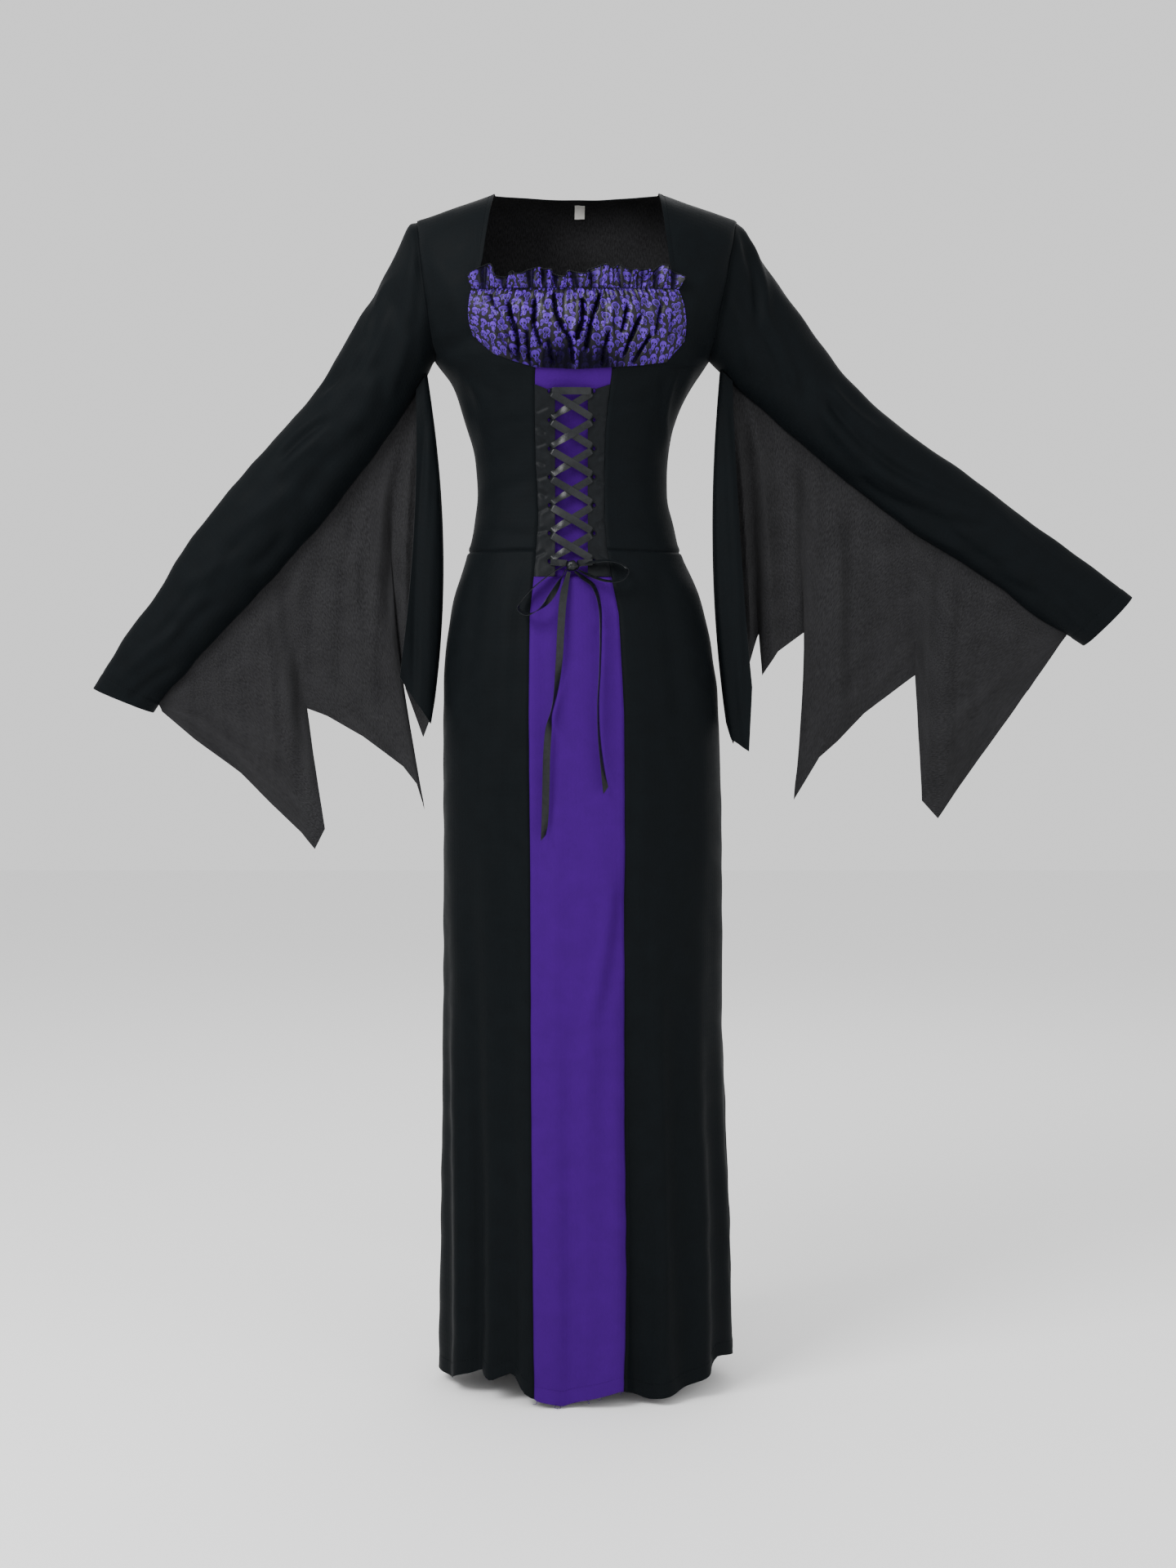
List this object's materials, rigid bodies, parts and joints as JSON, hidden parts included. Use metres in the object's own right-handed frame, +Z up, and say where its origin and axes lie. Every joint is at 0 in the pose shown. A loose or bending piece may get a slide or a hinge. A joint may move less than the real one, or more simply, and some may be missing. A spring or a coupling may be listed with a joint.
{
  "type": "witch costume gown",
  "caption": "Long hollow witch gown with square neck, gathered printed bust panel, laced front, centre skirt panel and batwing sleeves.",
  "frame": {"origin": "between the shoulders, where the wearer's shoulders carry the gown", "axes": "+Z up, the gown's front faces -Y, the wearer's left arm is on +X"},
  "size_m": [1.2652, 0.2614, 1.4096],
  "materials": {
    "black_knit": "matt smooth polyester knit",
    "purple_knit": "matt smooth polyester knit",
    "print_satin": "printed satin, soft sheen",
    "placket_satin": "satin, soft sheen",
    "ribbon_satin": "satin ribbon, bright sheen",
    "wing_knit": "wrong side of the knit, dull and mottled",
    "label_tape": "white woven tape, blank"
  },
  "bodies": {
    "root": {"front_bodice_right": "black_knit", "front_bodice_left": "black_knit", "back_bodice": "black_knit", "bust_panel": "print_satin", "bust_ruffle": "print_satin", "modesty_panel": "purple_knit", "placket_right": "placket_satin", "placket_left": "placket_satin", "lace_bar": "ribbon_satin", "lace_down_1": "ribbon_satin", "lace_up_1": "ribbon_satin", "lace_down_2": "ribbon_satin", "lace_up_2": "ribbon_satin", "lace_down_3": "ribbon_satin", "lace_up_3": "ribbon_satin", "lace_down_4": "ribbon_satin", "lace_up_4": "ribbon_satin", "lace_down_5": "ribbon_satin", "lace_up_5": "ribbon_satin", "lace_down_6": "ribbon_satin", "lace_up_6": "ribbon_satin", "lace_end_right": "ribbon_satin", "lace_end_left": "ribbon_satin", "bow_knot": "ribbon_satin", "bow_loop_right": "ribbon_satin", "bow_loop_left": "ribbon_satin", "bow_tail_right": "ribbon_satin", "bow_tail_left": "ribbon_satin", "size_label": "label_tape", "skirt_front_right": "black_knit", "skirt_front_left": "black_knit", "skirt_centre": "purple_knit", "skirt_back": "black_knit", "sleeve_right": "black_knit", "sleeve_left": "black_knit", "wing_right": "wing_knit", "wing_left": "wing_knit"}
  },
  "joints": []
}
